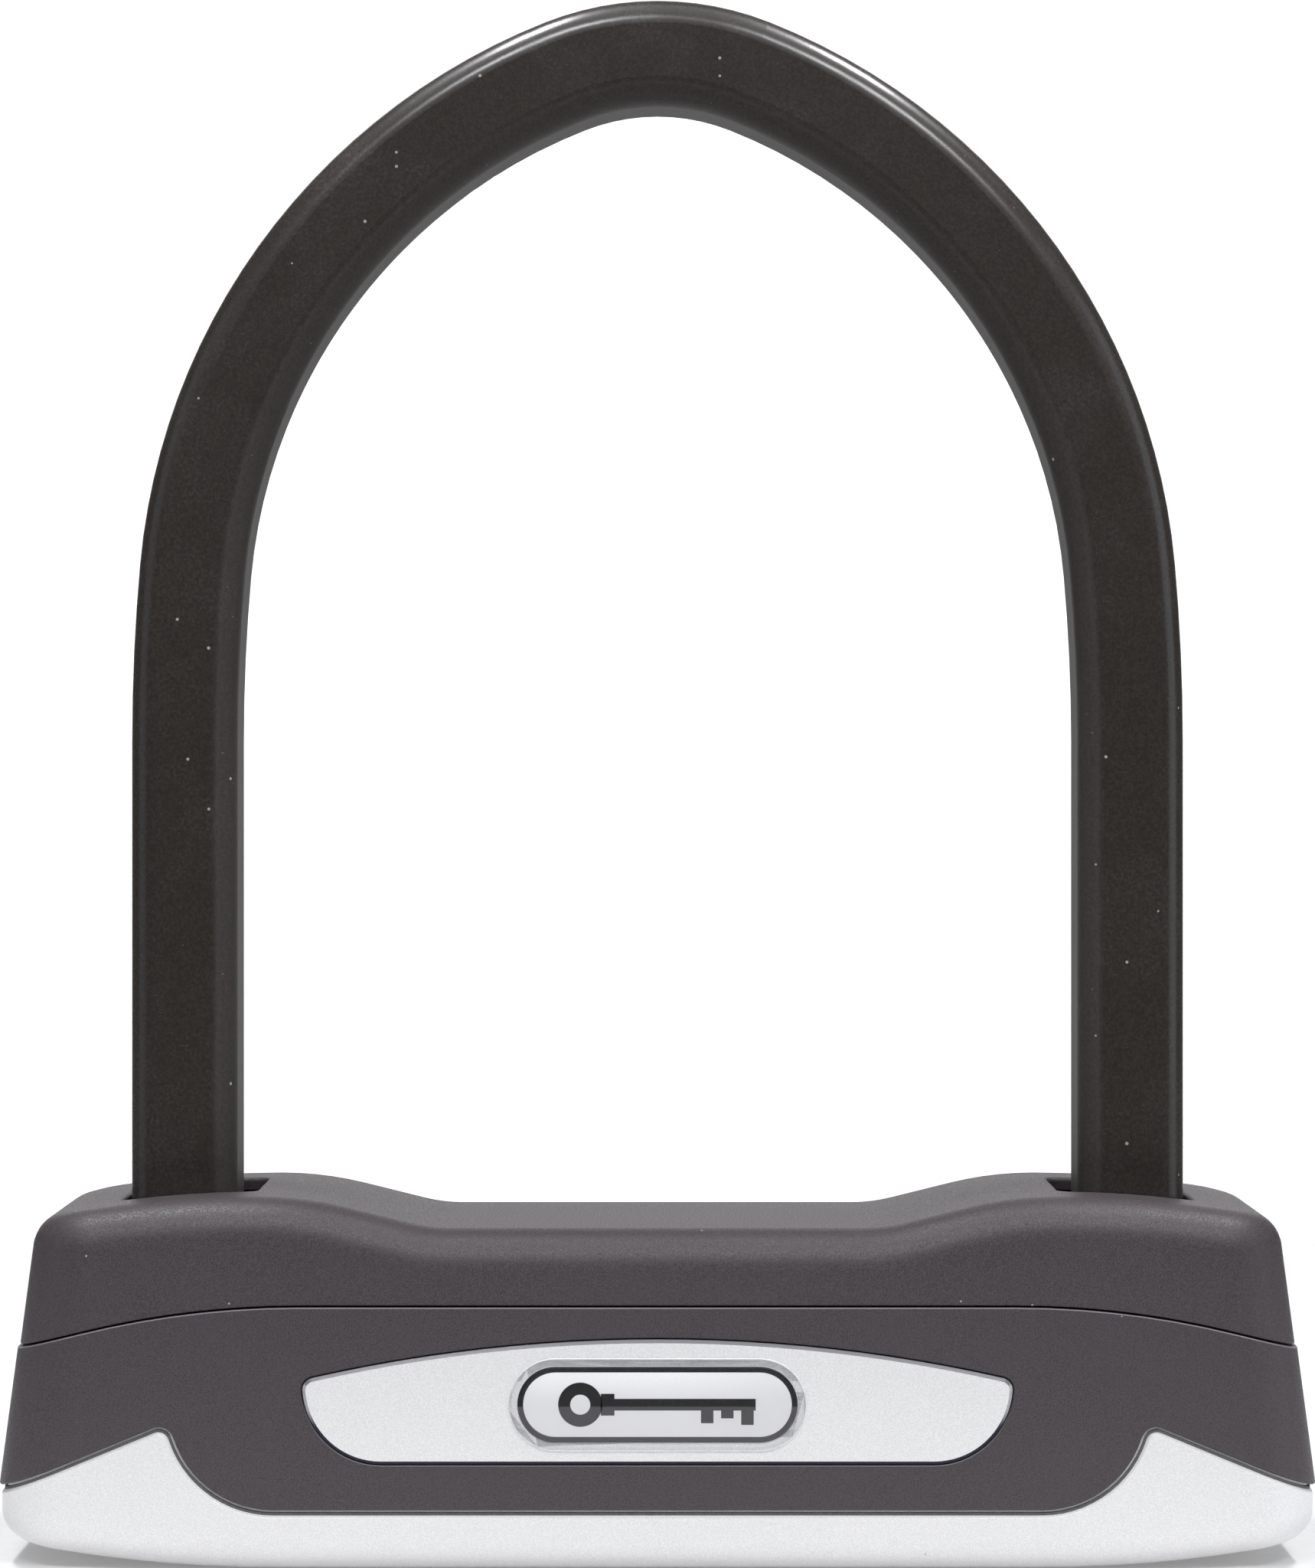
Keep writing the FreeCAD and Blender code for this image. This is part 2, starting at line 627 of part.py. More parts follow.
def leg_bush():
    """Collar under the cover that guides the sleeved leg."""
    half = SLEEVE_HALF + BUSH_GAP
    outer = half + BUSH_WALL
    roof = cover_outline(COVER_WALL + BUSH_TOP_AIR)
    blank = box(LEG_X - outer, LEG_X + outer, -outer, outer, CASE_TOP_Z, CREST_Z)
    hole = rounded_box(LEG_X - half, LEG_X + half, -half, half, CASE_TOP_Z - 1, CREST_Z + 1, SLEEVE_CORNER)
    return blank.common(roof).cut(hole)


# ---- cap and its cover slide ----
def slider_recess():
    x0 = -SLIDER_LENGTH / 2 - SLIDE_GAP
    x1 = SLIDER_LENGTH / 2 + SLIDER_TRAVEL + SLIDE_GAP
    half = SLIDER_WIDTH / 2 + SLIDE_GAP
    lip = SLIDER_BASE_Z + SLIDER_THICKNESS - TONGUE_THICKNESS - SLIDE_GAP / 2
    mouth = box(x0, x1, -half, half, -1, RECESS_TOP_Z)
    groove = box(x0, x1, -half - SLIDER_TONGUE, half + SLIDER_TONGUE, lip, RECESS_TOP_Z)
    return mouth.fuse(groove)


def bottom_cap():
    below = slab(both_sides(wing_edges(CAP_GAP)), -FAR, FAR)
    below_lip = slab(both_sides(wing_edges(CAP_LIP_GAP)), -FAR, FAR)
    outside = cap_outline(0.0)
    inside = cap_outline(COVER_WALL)
    cap = outside.cut(inside).common(below)
    cap = cap.makeChamfer(CAP_EDGE_BEVEL, rim_edges(cap, outside, below))
    lip = cap_outline(CAP_LIP_INSET).cut(inside).common(below_lip)
    cap = cap.fuse(lip)
    margin = SLIDER_TONGUE + 2 * SLIDE_GAP + COVER_WALL
    half = SLIDER_WIDTH / 2 + margin
    x0 = -SLIDER_LENGTH / 2 - margin
    x1 = SLIDER_LENGTH / 2 + SLIDER_TRAVEL + margin
    pad = box(x0, x1, -half, half, COVER_WALL / 2, CAP_PAD_TOP_Z)
    collar_top = CASE_BOTTOM_Z - FLANGE_THICKNESS
    collar_radius = HOUSING_RADIUS + SLIDE_GAP + CYLINDER_BOSS_WALL
    collar = rod(collar_radius, COVER_WALL / 2, collar_top)
    additions = [pad, collar]
    for x in (-LEG_X, LEG_X):
        additions.append(rod(CAP_BOSS_RADIUS, COVER_WALL / 2, CASE_BOTTOM_Z, x).common(outside))
    cap = cap.multiFuse(additions)
    cap = cap.cut(slider_recess())
    cap = cap.cut(rod(HOUSING_RADIUS + SLIDE_GAP, CAP_PAD_TOP_Z, FAR))
    cap = cap.cut(rod(BEZEL_BORE + BEZEL_WALL + PRESS_GAP, RECESS_TOP_Z - 1, FAR))
    for x in (-LEG_X, LEG_X):
        screw_end = BASE_TOP_Z - SCREW_LENGTH
        cap = cap.cut(rod(SCREW_RADIUS + PRESS_GAP, screw_end, FAR, x))
    return cap.removeSplitter()


def key_bezel():
    return ring(BEZEL_BORE + BEZEL_WALL, BEZEL_BORE, RECESS_TOP_Z, CAP_PAD_TOP_Z)


def keyhole_slider():
    half_length = SLIDER_LENGTH / 2
    half_width = SLIDER_WIDTH / 2
    top = SLIDER_BASE_Z + SLIDER_THICKNESS
    plate = box(-half_length, half_length, -half_width, half_width, SLIDER_BASE_Z, top)
    tongue_half = half_width + SLIDER_TONGUE
    tongues = box(-half_length, half_length, -tongue_half, tongue_half, top - TONGUE_THICKNESS, top)
    ribs = []
    for i in range(RIB_COUNT):
        x = (i - (RIB_COUNT - 1) / 2) * RIB_PITCH
        rib_half = half_width / 2
        z0 = SLIDER_BASE_Z - RIB_HEIGHT
        ribs.append(box(x - RIB_WIDTH / 2, x + RIB_WIDTH / 2, -rib_half, rib_half, z0, SLIDER_BASE_Z + RIB_HEIGHT))
    return plate.multiFuse([tongues] + ribs).removeSplitter()


def cap_seal():
    """Thin cord lying on the cap's edge, round its lip."""
    above = slab(both_sides(wing_edges(CAP_GAP)), FAR, FAR)
    below = slab(both_sides(wing_edges(CAP_GAP - SEAL_HEIGHT)), -FAR, FAR)
    band = cap_outline(SEAL_INSET).cut(cap_outline(CAP_LIP_INSET))
    return band.common(above).common(below)


# ---- case and blocks ----
def case_shell():
    outer = rounded_box(-CASE_HALF, CASE_HALF, -CASE_DEPTH, CASE_DEPTH, CASE_BOTTOM_Z, CASE_TOP_Z, CASE_CORNER)
    rim = nearest_edge(outer, Vector(0, -CASE_DEPTH, CASE_TOP_Z))
    outer = outer.makeFillet(CASE_BEND, [rim])
    inner_corner = CASE_CORNER - CASE_WALL
    inner = rounded_box(-CASE_INNER_HALF, CASE_INNER_HALF, -CASE_INNER_DEPTH, CASE_INNER_DEPTH,
                        CASE_BOTTOM_Z - 1, CASE_ROOF_Z, inner_corner)
    shell = outer.cut(inner)
    hole = rounded_box(LEG_X - WELL_HALF, LEG_X + WELL_HALF, -WELL_HALF, WELL_HALF,
                       CASE_ROOF_Z - 1, CASE_TOP_Z + 1, BAR_CORNER)
    shell = shell.cut(hole).cut(mirrored(hole))
    for name, rivet in rivets(RIVET_RADIUS + PRESS_GAP):
        shell = shell.cut(rivet)
    return shell


def case_base():
    half = BLOCK_OUTER_X
    corner = CASE_CORNER - CASE_WALL
    plate = rounded_box(-half, half, -CORE_HALF_DEPTH, CORE_HALF_DEPTH, CASE_BOTTOM_Z, BASE_TOP_Z, corner)
    plate = plate.cut(rod(HOUSING_RADIUS + RUN_GAP, 0, FAR))
    for x in (-LEG_X, LEG_X):
        plate = plate.cut(rod(SCREW_RADIUS + LEG_GAP, 0, FAR, x))
    return plate


def bolt_channel():
    half = BOLT_WIDTH / 2 + SLIDE_GAP
    return box(0, LEG_X, -half, half, BOLT_Z - SLIDE_GAP, CASE_ROOF_Z + 1)


def leg_block():
    corner = CASE_CORNER - CASE_WALL
    block = box(BLOCK_INNER_X, BLOCK_OUTER_X, -CORE_HALF_DEPTH, CORE_HALF_DEPTH, BASE_TOP_Z, CASE_ROOF_Z)
    outer_edges = []
    for e in block.Edges:
        if abs(e.tangentAt(0).z) > 0.9 and e.BoundBox.XMin > LEG_X:
            outer_edges.append(e)
    block = block.makeFillet(corner, outer_edges)
    well = rounded_box(LEG_X - WELL_HALF, LEG_X + WELL_HALF, -WELL_HALF, WELL_HALF,
                       BASE_TOP_Z - 1, CASE_ROOF_Z + 1, BAR_CORNER)
    return block.cut(well).cut(bolt_channel())


def core_block():
    half = BLOCK_INNER_X - BLOCK_JOINT
    block = box(-half, half, -CORE_HALF_DEPTH, CORE_HALF_DEPTH, BASE_TOP_Z, CASE_ROOF_Z)
    block = block.cut(rod(HOUSING_RADIUS + RUN_GAP, 0, HOUSING_TOP_Z))
    block = block.cut(rod(CLIP_RADIUS + SLIDE_GAP, HOUSING_TOP_Z - 1, POCKET_Z))
    block = block.cut(rod(POCKET_RADIUS, POCKET_Z, FAR))
    block = block.cut(bolt_channel()).cut(mirrored(bolt_channel()))
    for name, rivet in rivets(RIVET_RADIUS + PRESS_GAP):
        block = block.cut(rivet)
    return block.removeSplitter()


def rivets(radius):
    """Four rivets from the broad sides into the core: named shanks of the given radius, with heads."""
    made = []
    for side, y_sign in (("front", -1), ("back", 1)):
        for hand, x_sign in (("left", -1), ("right", 1)):
            inner_y = CASE_INNER_DEPTH - RIVET_DEPTH
            shank = Part.makeCylinder(radius, CASE_DEPTH - inner_y,
                                      Vector(x_sign * RIVET_X, y_sign * inner_y, RIVET_Z),
                                      Vector(0, y_sign, 0))
            head = Part.makeCylinder(RIVET_HEAD_RADIUS, RIVET_HEAD_HEIGHT,
                                     Vector(x_sign * RIVET_X, y_sign * CASE_DEPTH, RIVET_Z),
                                     Vector(0, y_sign, 0))
            made.append(("case_rivet_" + side + "_" + hand, shank.fuse(head).removeSplitter()))
    return made


def buffer_pad():
    half = BAR_SIZE / 2
    pad = rounded_box(LEG_X - half, LEG_X + half, -half, half, BASE_TOP_Z, BASE_TOP_Z + PAD_THICKNESS, BAR_CORNER)
    return pad.cut(rod(SCREW_HEAD_RADIUS + PAD_HOLE_GAP, 0, FAR, LEG_X))


def cap_screw():
    shank = rod(SCREW_RADIUS, BASE_TOP_Z - SCREW_LENGTH, BASE_TOP_Z, LEG_X)
    head = rod(SCREW_HEAD_RADIUS, BASE_TOP_Z, BASE_TOP_Z + SCREW_HEAD_HEIGHT, LEG_X)
    head_top = BASE_TOP_Z + SCREW_HEAD_HEIGHT
    slot_half = SCREW_SLOT / 2
    slot = box(LEG_X - FAR, LEG_X + FAR, -slot_half, slot_half, head_top - SCREW_HEAD_HEIGHT / 2, FAR)
    return shank.fuse(head).removeSplitter().cut(slot)


# ---- cylinder ----
def keyway(z0, z1):
    return box(-KEYWAY_WIDTH / 2, KEYWAY_WIDTH / 2, -KEYWAY_HEIGHT / 2, KEYWAY_HEIGHT / 2, z0, z1)


def sidebar_place(gap, z0, z1):
    """Slot for the sidebar from the disc rims out to the carrier's skin."""
    half = SIDEBAR_WIDTH / 2 + gap
    outer = CARRIER_RADIUS - AXIAL_GAP
    bar = box(outer - SIDEBAR_HEIGHT - gap, outer, -half, half, z0, z1)
    bar = bar.common(rod(outer, z0, z1))
    return turned(bar, SIDEBAR_ANGLE)


def cylinder_housing():
    body = rod(HOUSING_RADIUS, CYLINDER_FACE_Z, HOUSING_TOP_Z)
    flange = rod(HOUSING_RADIUS + FLANGE_WIDTH, CASE_BOTTOM_Z - FLANGE_THICKNESS, CASE_BOTTOM_Z)
    body = body.fuse(flange).removeSplitter()
    body = body.cut(rod(HOUSING_BORE, 0, FAR))
    groove = box(0, HOUSING_BORE + HOUSING_WALL / 2, -SIDEBAR_WIDTH / 2, SIDEBAR_WIDTH / 2, STACK_Z, STACK_TOP_Z)
    body = body.cut(turned(groove, SIDEBAR_ANGLE))
    return body.cut(stop_pin(STOP_PIN_RADIUS + PRESS_GAP))


def stop_pin(radius):
    z = CAVITY_TOP_Z + CARRIER_HEAD / 2
    inner = CARRIER_RADIUS - STOP_DEPTH + AXIAL_GAP * 4
    pin = Part.makeCylinder(radius, HOUSING_RADIUS - inner, Vector(inner, 0, z), Vector(1, 0, 0))
    return turned(pin, STOP_PIN_ANGLE)


def stop_groove():
    """Quarter-turn groove in the carrier's head for the stop pin."""
    half_z = STOP_PIN_RADIUS + SLIDE_GAP / 2
    middle = CAVITY_TOP_Z + CARRIER_HEAD / 2
    margin = math.degrees((STOP_PIN_RADIUS + SLIDE_GAP) / (CARRIER_RADIUS - STOP_DEPTH))
    sweep = math.degrees(TURN) + 2 * margin
    outer = Part.makeCylinder(CARRIER_RADIUS + 1, 2 * half_z, Vector(0, 0, middle - half_z),
                              Vector(0, 0, 1), sweep)
    core = rod(CARRIER_RADIUS - STOP_DEPTH, middle - half_z, middle + half_z)
    return turned(outer.cut(core), STOP_PIN_ANGLE + margin - sweep)


def disc_carrier():
    body = rod(CARRIER_RADIUS, CYLINDER_FACE_Z, CARRIER_TOP_Z)
    body = body.cut(rod(CARRIER_BORE, 0, CAVITY_TOP_Z))
    body = body.cut(stop_groove())
    body = body.cut(sidebar_place(RUN_GAP, STACK_Z - RUN_GAP, STACK_TOP_Z + RUN_GAP))
    slot = box(0, FAR, -SIDEBAR_WIDTH / 2 - RUN_GAP, SIDEBAR_WIDTH / 2 + RUN_GAP, STACK_Z, STACK_TOP_Z)
    body = body.cut(turned(slot, SIDEBAR_ANGLE))
    neck = rod(NECK_RADIUS, CARRIER_TOP_Z - 1, CLIP_TOP_Z)
    half = TAIL_SIZE / 2
    tail = box(-half, half, -half, half, CARRIER_TOP_Z - 1, CLIP_TOP_Z + TAIL_LENGTH)
    return body.multiFuse([neck, tail]).removeSplitter()


def detainer_disc(index):
    z0 = STACK_Z + index * DISC_PITCH
    disc = rod(DISC_RADIUS, z0, z0 + DISC_THICKNESS)
    opening = turned(keyway(z0, z0 + DISC_THICKNESS), 90 + DISC_CODE[index] * CODE_STEP / 2)
    return disc.cut(opening).cut(sidebar_place(RUN_GAP, z0, z0 + DISC_THICKNESS))


def disc_spacer(index):
    z0 = STACK_Z + index * DISC_PITCH + DISC_THICKNESS
    spacer = ring(DISC_RADIUS, KEYWAY_WIDTH / 2 + RUN_GAP, z0, z0 + SPACER_THICKNESS)
    return spacer.cut(sidebar_place(RUN_GAP, z0, z0 + SPACER_THICKNESS))


def sidebar():
    return sidebar_place(0.0, STACK_Z, STACK_TOP_Z)


def drill_guard():
    disc = rod(DISC_RADIUS, GUARD_Z, GUARD_Z + GUARD_THICKNESS)
    return disc.cut(keyway(GUARD_Z, GUARD_Z + GUARD_THICKNESS))


def carrier_clip():
    clip = ring(CLIP_RADIUS, NECK_RADIUS + RUN_GAP, CARRIER_TOP_Z, CLIP_TOP_Z)
    gap = Part.makeCylinder(FAR, CLIP_THICKNESS, Vector(0, 0, CARRIER_TOP_Z), Vector(0, 0, 1), CLIP_OPENING)
    return clip.cut(gap)


# ---- cam and bolts ----
def spiral_point(turn, side):
    """Point on one flank of the scroll slot; the pin's radius grows evenly with the turn."""
    growth = BOLT_TRAVEL / TURN
    radius = PIN_START + growth * turn
    x = radius * math.cos(turn)
    y = -radius * math.sin(turn)
    dx = growth * math.cos(turn) - radius * math.sin(turn)
    dy = -growth * math.sin(turn) - radius * math.cos(turn)
    length = math.hypot(dx, dy)
    return Vector(x - side * SLOT_HALF * dy / length, y + side * SLOT_HALF * dx / length, CAM_Z)


def scroll_slot():
    steps = 24
    flanks = {}
    for side in (-1, 1):
        points = [spiral_point(TURN * i / steps, side) for i in range(steps + 1)]
        curve = Part.BSplineCurve()
        curve.interpolate(points)
        flanks[side] = curve.toShape()
    start = Vector(PIN_START, 0, CAM_Z)
    end_radius = PIN_START + BOLT_TRAVEL
    end = Vector(end_radius * math.cos(TURN), -end_radius * math.sin(TURN), CAM_Z)
    caps = []
    for turn, center, ahead in ((0.0, start, -1), (TURN, end, 1)):
        a = spiral_point(turn, -1)
        b = spiral_point(turn, 1)
        across = b.sub(a)
        forward = Vector(across.y, -across.x, 0).normalize()
        middle = center + forward * (ahead * SLOT_HALF)
        caps.append(Part.Arc(a, middle, b).toShape())
    wire = Part.Wire(Part.__sortEdges__([flanks[-1], flanks[1]] + caps))
    return Part.Face(wire).extrude(Vector(0, 0, CAM_THICKNESS))


def scroll_cam():
    cam = rod(CAM_RADIUS, CAM_Z, CAM_TOP_Z).fuse(rod(HUB_RADIUS, HUB_Z, CAM_Z)).removeSplitter()
    half = TAIL_SIZE / 2 + RUN_GAP
    cam = cam.cut(box(-half, half, -half, half, HUB_Z, CLIP_TOP_Z + TAIL_LENGTH + RUN_GAP))
    slot = scroll_slot()
    return cam.cut(slot).cut(turned(slot, 180))


def thrust_washer():
    return ring(WASHER_RADIUS, HUB_RADIUS + RUN_GAP, POCKET_Z, POCKET_Z + WASHER_THICKNESS)


def bolt():
    half = BOLT_WIDTH / 2
    bar = box(BOLT_INNER_X, BOLT_TIP_X, -half, half, BOLT_Z, BOLT_TOP_Z)
    tip = [e for e in bar.Edges if e.BoundBox.XMin > BOLT_TIP_X - 1e-3]
    bar = bar.makeChamfer(BOLT_TIP_CHAMFER, tip)
    return bar.cut(rod(PIN_RADIUS + PRESS_GAP, 0, BOLT_Z + PIN_IN_BOLT, PIN_START))


def drive_pin():
    return rod(PIN_RADIUS, CAM_Z + SLIDE_GAP, BOLT_Z + PIN_IN_BOLT, PIN_START)


def nodes():
    made = {
        "shackle_bar": shackle_bar(),
        "shackle_sleeve": shackle_sleeve(),
        "upper_cover": upper_cover(),
        "lower_cover": lower_cover(),
        "bottom_cap": bottom_cap(),
        "cap_seal": cap_seal(),
        "badge_plate": badge_plate(),
        "emblem_foil": emblem_foil(),
        "emblem_lens": emblem_lens(),
        "case_shell": case_shell(),
        "case_base": case_base(),
        "core_block": core_block(),
        "cylinder_housing": cylinder_housing(),
        "cylinder_stop_pin": stop_pin(STOP_PIN_RADIUS),
        "disc_carrier": disc_carrier(),
        "sidebar": sidebar(),
        "drill_guard": drill_guard(),
        "carrier_clip": carrier_clip(),
        "scroll_cam": scroll_cam(),
        "thrust_washer": thrust_washer(),
        "keyhole_slider": keyhole_slider(),
        "key_bezel": key_bezel(),
    }
    handed = {
        "leg_block": leg_block,
        "leg_bush": leg_bush,
        "buffer_pad": buffer_pad,
        "cap_screw": cap_screw,
        "bolt": bolt,
        "drive_pin": drive_pin,
    }
    for name, build in handed.items():
        right = build()
        made[name + "_right"] = right
        made[name + "_left"] = mirrored(right)
    for index in range(DISC_COUNT):
        made["detainer_disc_%d" % (index + 1)] = detainer_disc(index)
    for index in range(DISC_COUNT - 1):
        made["disc_spacer_%d" % (index + 1)] = disc_spacer(index)
    for name, rivet in rivets(RIVET_RADIUS):
        made[name] = rivet
    return made


def main():
    os.makedirs("parts", exist_ok=True)
    for name, shape in nodes().items():
        solids = shape.Solids
        if len(solids) != 1 or not shape.isValid():
            print("CHECK", name, "solids", len(solids), "valid", shape.isValid())
        solid = solids[0] if len(solids) == 1 else Part.makeCompound(solids)
        solid.exportStep("parts/" + name + ".step")
        b = solid.BoundBox
        print("%-26s %8.0f mm3  x %.1f %.1f  y %.1f %.1f  z %.1f %.1f" % (
            name, solid.Volume, b.XMin, b.XMax, b.YMin, b.YMax, b.ZMin, b.ZMax))


main()
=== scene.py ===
import json
import math
import bmesh
import bpy
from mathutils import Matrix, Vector


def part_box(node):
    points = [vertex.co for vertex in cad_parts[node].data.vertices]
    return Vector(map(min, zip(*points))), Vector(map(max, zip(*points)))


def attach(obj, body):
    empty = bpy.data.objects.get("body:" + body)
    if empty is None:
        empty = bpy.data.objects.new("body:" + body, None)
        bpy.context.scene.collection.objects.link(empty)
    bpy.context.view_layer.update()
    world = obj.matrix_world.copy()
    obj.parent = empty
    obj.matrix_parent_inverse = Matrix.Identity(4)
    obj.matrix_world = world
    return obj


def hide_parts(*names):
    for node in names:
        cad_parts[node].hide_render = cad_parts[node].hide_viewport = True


# U lock on a round pale table, seen level from the badge side. Lengths are in metres.

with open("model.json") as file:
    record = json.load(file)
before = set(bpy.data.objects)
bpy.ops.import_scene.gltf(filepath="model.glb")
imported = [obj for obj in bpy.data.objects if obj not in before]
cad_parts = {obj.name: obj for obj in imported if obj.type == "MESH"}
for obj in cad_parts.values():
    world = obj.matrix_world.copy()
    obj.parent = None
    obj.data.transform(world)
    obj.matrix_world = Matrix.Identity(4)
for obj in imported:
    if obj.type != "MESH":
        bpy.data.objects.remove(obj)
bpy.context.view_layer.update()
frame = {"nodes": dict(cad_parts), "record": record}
nodes = frame["nodes"]
MM = 0.001


# ---------------------------------------------------------------- materials
class Shader:
    """A node material: small helpers around one Principled shader."""

    def __init__(self, name, **constants):
        self.mat = bpy.data.materials.new(name)
        self.mat.use_nodes = True
        self.tree = self.mat.node_tree
        self.tree.nodes.clear()
        self.out = self.add("ShaderNodeOutputMaterial")
        self.bsdf = self.add("ShaderNodeBsdfPrincipled")
        self.link(self.bsdf.outputs["BSDF"], self.out.inputs["Surface"])
        for key, value in constants.items():
            self.bsdf.inputs[key.replace("_", " ")].default_value = value
        self.coords = self.add("ShaderNodeTexCoord").outputs["Object"]

    def add(self, kind, **settings):
        node = self.tree.nodes.new(kind)
        for key, value in settings.items():
            setattr(node, key, value)
        return node

    def link(self, source, target):
        self.tree.links.new(source, target)

    def stretched(self, scale):
        """Object coordinates multiplied by a scale of their own on each axis."""
        node = self.add("ShaderNodeMapping")
        node.inputs["Scale"].default_value = scale
        self.link(self.coords, node.inputs["Vector"])
        return node.outputs["Vector"]

    def noise(self, per_mm, detail, rough, scale=(1, 1, 1), distort=0.0):
        node = self.add("ShaderNodeTexNoise")
        node.inputs["Scale"].default_value = per_mm / MM
        node.inputs["Detail"].default_value = detail
        node.inputs["Roughness"].default_value = rough
        node.inputs["Distortion"].default_value = distort
        self.link(self.stretched(scale), node.inputs["Vector"])
        return node.outputs["Fac"]

    def remap(self, value, low, high, to_low=0.0, to_high=1.0):
        """Smooth step from to_low at low to to_high at high."""
        node = self.add("ShaderNodeMapRange", interpolation_type="SMOOTHSTEP")
        node.inputs["From Min"].default_value = low
        node.inputs["From Max"].default_value = high
        node.inputs["To Min"].default_value = to_low
        node.inputs["To Max"].default_value = to_high
        self.link(value, node.inputs["Value"])
        return node.outputs["Result"]

    def math(self, operation, *values):
        node = self.add("ShaderNodeMath", operation=operation)
        for socket, value in zip(node.inputs, values):
            if isinstance(value, float):
                socket.default_value = value
            else:
                self.link(value, socket)
        return node.outputs["Value"]

    def mix(self, factor, first, second):
        """Colour that goes from first to second as the factor goes from 0 to 1."""
        node = self.add("ShaderNodeMix", data_type="RGBA")
        self.link(factor, node.inputs["Factor"])
        first_socket, second_socket = node.inputs[6], node.inputs[7]
        for socket, value in ((first_socket, first), (second_socket, second)):
            if isinstance(value, tuple):
                socket.default_value = (*value, 1.0)
            else:
                self.link(value, socket)
        result_socket = node.outputs[2]
        return result_socket

    def color(self, value):
        self.link(value, self.bsdf.inputs["Base Color"])

    def roughness(self, value):
        self.link(value, self.bsdf.inputs["Roughness"])

    def normal(self, value):
        self.link(value, self.bsdf.inputs["Normal"])

    def bump(self, height, height_mm, strength, under=None):
        node = self.add("ShaderNodeBump")
        node.inputs["Strength"].default_value = strength
        node.inputs["Distance"].default_value = height_mm * MM
        self.link(height, node.inputs["Height"])
        if under is not None:
            self.link(under, node.inputs["Normal"])
        return node.outputs["Normal"]

    def dust(self, per_mm, share, size):
        """Sparse small specks: only a share of the cells of a cell pattern carries one."""
        cell = self.add("ShaderNodeTexVoronoi")
        cell.inputs["Scale"].default_value = per_mm / MM
        self.link(self.coords, cell.inputs["Vector"])
        pick = self.add("ShaderNodeSeparateColor")
        self.link(cell.outputs["Color"], pick.inputs["Color"])
        chosen = self.math("GREATER_THAN", pick.outputs[0], 1.0 - share)
        reach = self.math("MULTIPLY", pick.outputs[1], size)
        near = self.math("LESS_THAN", cell.outputs["Distance"], reach)
        return self.math("MULTIPLY", chosen, near)

    def part_of(self, vector, axis):
        node = self.add("ShaderNodeSeparateXYZ")
        self.link(vector, node.inputs["Vector"])
        return node.outputs[axis]

    def position(self, axis):
        """One coordinate of the surface point, in metres."""
        return self.part_of(self.coords, axis)

    def facing(self, axis):
        """One part of the surface normal, from -1 to 1."""
        return self.part_of(self.add("ShaderNodeNewGeometry").outputs["Normal"], axis)


def cover_plastic(name="cover_plastic", painted_sheen_share=0.0):
    """Grained dark plastic; its last argument is how strongly a painted highlight, a pale sheen, lightens
    its up-facing rounded edges.
    """
    dark = (0.034, 0.0270, 0.0300)
    pale = (0.076, 0.0630, 0.0690)
    clouded = (0.057, 0.049, 0.053)
    painted_sheen_tone = (0.20, 0.192, 0.215)
    dusty = (0.45, 0.44, 0.43)
    s = Shader(name, Specular_IOR_Level=0.45)
    grain = s.noise(per_mm=5.5, detail=3.0, rough=0.7)
    glint = s.noise(per_mm=4.6, detail=1.0, rough=0.5)
    cloud = s.noise(per_mm=0.06, detail=3.0, rough=0.6)
    base = s.mix(s.remap(grain, 0.36, 0.66), dark, pale)
    base = s.mix(s.remap(cloud, 0.35, 0.7, to_high=0.3), base, clouded)
    up = s.facing("Z")
    # painted highlight: the up-facing rounded edges are lightened to a pale bluish sheen, as lamps above
    # would light them
    sheen_band = s.math("MULTIPLY", s.remap(up, 0.12, 0.45), s.remap(up, 0.97, 0.75))
    base = s.mix(s.math("MULTIPLY", sheen_band, painted_sheen_share), base, painted_sheen_tone)
    specks = s.dust(per_mm=0.9, share=0.012, size=0.14)
    base = s.mix(s.math("MULTIPLY", specks, 0.7), base, dusty)
    s.color(base)
    s.roughness(s.remap(glint, 0.35, 0.65, to_low=0.42, to_high=0.62))
    s.normal(s.bump(grain, height_mm=0.028, strength=0.8))
    return s.mat


def silver_lacquer(name):
    """Silver lacquer with flake and dust: the shader and its colour, which isn't linked yet."""
    dark = (0.690, 0.684, 0.684)
    pale = (0.835, 0.826, 0.826)
    clouded = (0.76, 0.755, 0.760)
    dusty = (0.42, 0.42, 0.44)
    s = Shader(name, Metallic=0.12, Specular_IOR_Level=0.5)
    flake = s.noise(per_mm=6.0, detail=2.0, rough=0.6)
    cloud = s.noise(per_mm=0.9, detail=3.0, rough=0.6)
    base = s.mix(s.remap(flake, 0.35, 0.66), dark, pale)
    base = s.mix(s.remap(cloud, 0.35, 0.7, to_high=0.3), base, clouded)
    specks = s.dust(per_mm=0.9, share=0.010, size=0.16)
    base = s.mix(s.math("MULTIPLY", specks, 0.6), base, dusty)
    s.roughness(s.remap(flake, 0.3, 0.7, to_low=0.34, to_high=0.50))
    s.normal(s.bump(flake, height_mm=0.018, strength=0.6))
    return s, base


def cap_silver():
    s, base = silver_lacquer("cap_silver")
    s.color(base)
    return s.mat


